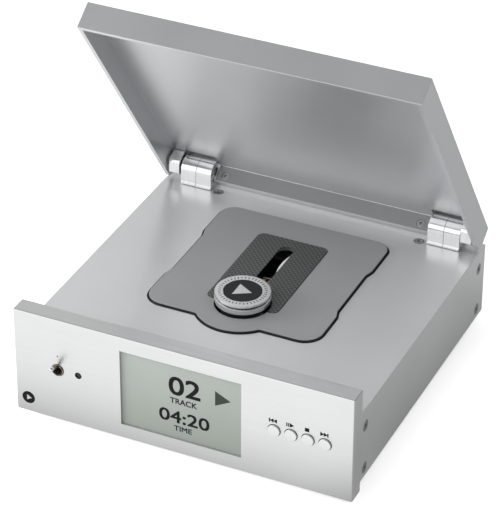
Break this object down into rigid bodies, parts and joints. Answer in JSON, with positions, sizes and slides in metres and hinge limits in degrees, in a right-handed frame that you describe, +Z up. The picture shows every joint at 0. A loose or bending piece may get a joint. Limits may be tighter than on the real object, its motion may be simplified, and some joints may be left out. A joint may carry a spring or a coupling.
{
  "type": "cd player",
  "caption": "Top-loading CD player with a hinged metal lid, suspended drive, magnetic disc clamp, recessed display, push buttons and a toggle switch.",
  "frame": {"origin": "on the surface the feet stand on, in the middle of the standing player's outline seen from above, lid open as at rest", "axes": "+X to the right as seen from the front, +Y from the front panel towards the rear, +Z up"},
  "size_m": [0.206, 0.2168, 0.2169],
  "materials": {
    "silver_aluminium": "brushed and clear anodised",
    "polished_aluminium": "bright turned or milled",
    "grey_anodised": "fine matt anodised",
    "carbon_weave": "twill carbon fibre under satin resin",
    "black_plastic": "moulded",
    "black_rubber": "moulded",
    "zinc_steel": "zinc plated",
    "white_nylon": "moulded",
    "green_board": "solder resist",
    "display_glass": "clear front over a reflective display",
    "laser_lens": "coated lens",
    "gold_contacts": "gold plated",
    "puck_disc": "printed disc"
  },
  "bodies": {
    "case": {"balanced_output": "black_plastic", "base_plate": "zinc_steel", "carbon_plate": "carbon_weave", "case_cover": "silver_aluminium", "coax_output": "gold_contacts", "control_board": "green_board", "corner_post_front_left": "zinc_steel", "corner_post_front_right": "zinc_steel", "corner_post_rear_left": "zinc_steel", "corner_post_rear_right": "zinc_steel", "display_cover": "silver_aluminium", "display_glass": "display_glass", "display_module": "green_board", "drive_damper_1": "black_rubber", "drive_damper_2": "black_rubber", "drive_damper_3": "black_rubber", "drive_damper_4": "black_rubber", "drive_plate": "grey_anodised", "drive_tray": "grey_anodised", "feed_motor": "zinc_steel", "foot_front_left": "black_rubber", "foot_front_right": "black_rubber", "foot_rear_left": "black_rubber", "foot_rear_right": "black_rubber", "front_panel": "silver_aluminium", "guide_rails": "zinc_steel", "hinge_block_left": "polished_aluminium", "hinge_block_right": "polished_aluminium", "hinge_cap_left": "polished_aluminium", "hinge_cap_right": "polished_aluminium", "main_board": "green_board", "optical_output": "black_plastic", "power_inlet": "black_plastic", "power_switch": "black_plastic", "rear_panel": "silver_aluminium", "rear_rail": "zinc_steel", "remote_sensor": "black_plastic", "slot_guard": "white_nylon", "spindle_motor": "zinc_steel", "switch_bushing": "polished_aluminium"},
    "lid": {"lid_shell": "silver_aluminium", "lid_arm_left": "polished_aluminium", "lid_arm_right": "polished_aluminium", "hinge_pin_left": "zinc_steel", "hinge_pin_right": "zinc_steel", "lid_screw_left": "zinc_steel", "lid_screw_right": "zinc_steel"},
    "previous_button": {"button_previous": "silver_aluminium"},
    "play_button": {"button_play": "silver_aluminium"},
    "stop_button": {"button_stop": "silver_aluminium"},
    "next_button": {"button_next": "silver_aluminium"},
    "power_toggle": {"power_lever": "polished_aluminium"},
    "turntable": {"turntable_hub": "black_plastic"},
    "clamp": {"puck_body": "polished_aluminium", "puck_inlay": "puck_disc"},
    "sled": {"laser_sled": "black_plastic", "lens_actuator": "gold_contacts", "laser_lens": "laser_lens"},
    "gear": {"feed_gear": "white_nylon"},
    "pinion": {"motor_pinion": "polished_aluminium"}
  },
  "joints": [
    {"name": "lid_hinge", "type": "hinge", "parent": "case", "child": "lid", "pos_m": [0, 0.09384, 0.0636], "axis": [-1, 0, 0], "range_deg": [-55.1, 20]},
    {"name": "previous_press", "type": "slide", "parent": "case", "child": "previous_button", "axis": [0, 1, 0], "range_m": [0, 0.0008], "stiffness_N_per_m": 600},
    {"name": "play_press", "type": "slide", "parent": "case", "child": "play_button", "axis": [0, 1, 0], "range_m": [0, 0.0008], "stiffness_N_per_m": 600},
    {"name": "stop_press", "type": "slide", "parent": "case", "child": "stop_button", "axis": [0, 1, 0], "range_m": [0, 0.0008], "stiffness_N_per_m": 600},
    {"name": "next_press", "type": "slide", "parent": "case", "child": "next_button", "axis": [0, 1, 0], "range_m": [0, 0.0008], "stiffness_N_per_m": 600},
    {"name": "power_flip", "type": "hinge", "parent": "case", "child": "power_toggle", "pos_m": [-0.0759, -0.09516, 0.038], "axis": [1, 0, 0], "range_deg": [0, 46.8]},
    {"name": "turntable_spin", "type": "hinge", "parent": "case", "child": "turntable", "pos_m": [0, -0.01876, 0.057], "axis": [0, 0, 1], "continuous": true},
    {"name": "clamp_lift", "type": "slide", "parent": "turntable", "child": "clamp", "axis": [0, 0, 1], "range_m": [0, 0.04]},
    {"name": "sled_slide", "type": "slide", "parent": "case", "child": "sled", "axis": [0, 1, 0], "range_m": [0, 0.033]},
    {"name": "feed_gear_spin", "type": "hinge", "parent": "case", "child": "gear", "pos_m": [0.0315, 0.03174, 0.0445], "axis": [0, 0, 1], "range_deg": [-158, 1]},
    {"name": "motor_pinion_spin", "type": "hinge", "parent": "case", "child": "pinion", "pos_m": [0.0315, 0.01274, 0.0445], "axis": [0, 0, 1], "range_deg": [-1, 272]}
  ],
  "couplings": [
    {"joint": "feed_gear_spin", "follows": "sled_slide", "rad_per_m": -83.333},
    {"joint": "motor_pinion_spin", "follows": "sled_slide", "rad_per_m": 142.86}
  ]
}
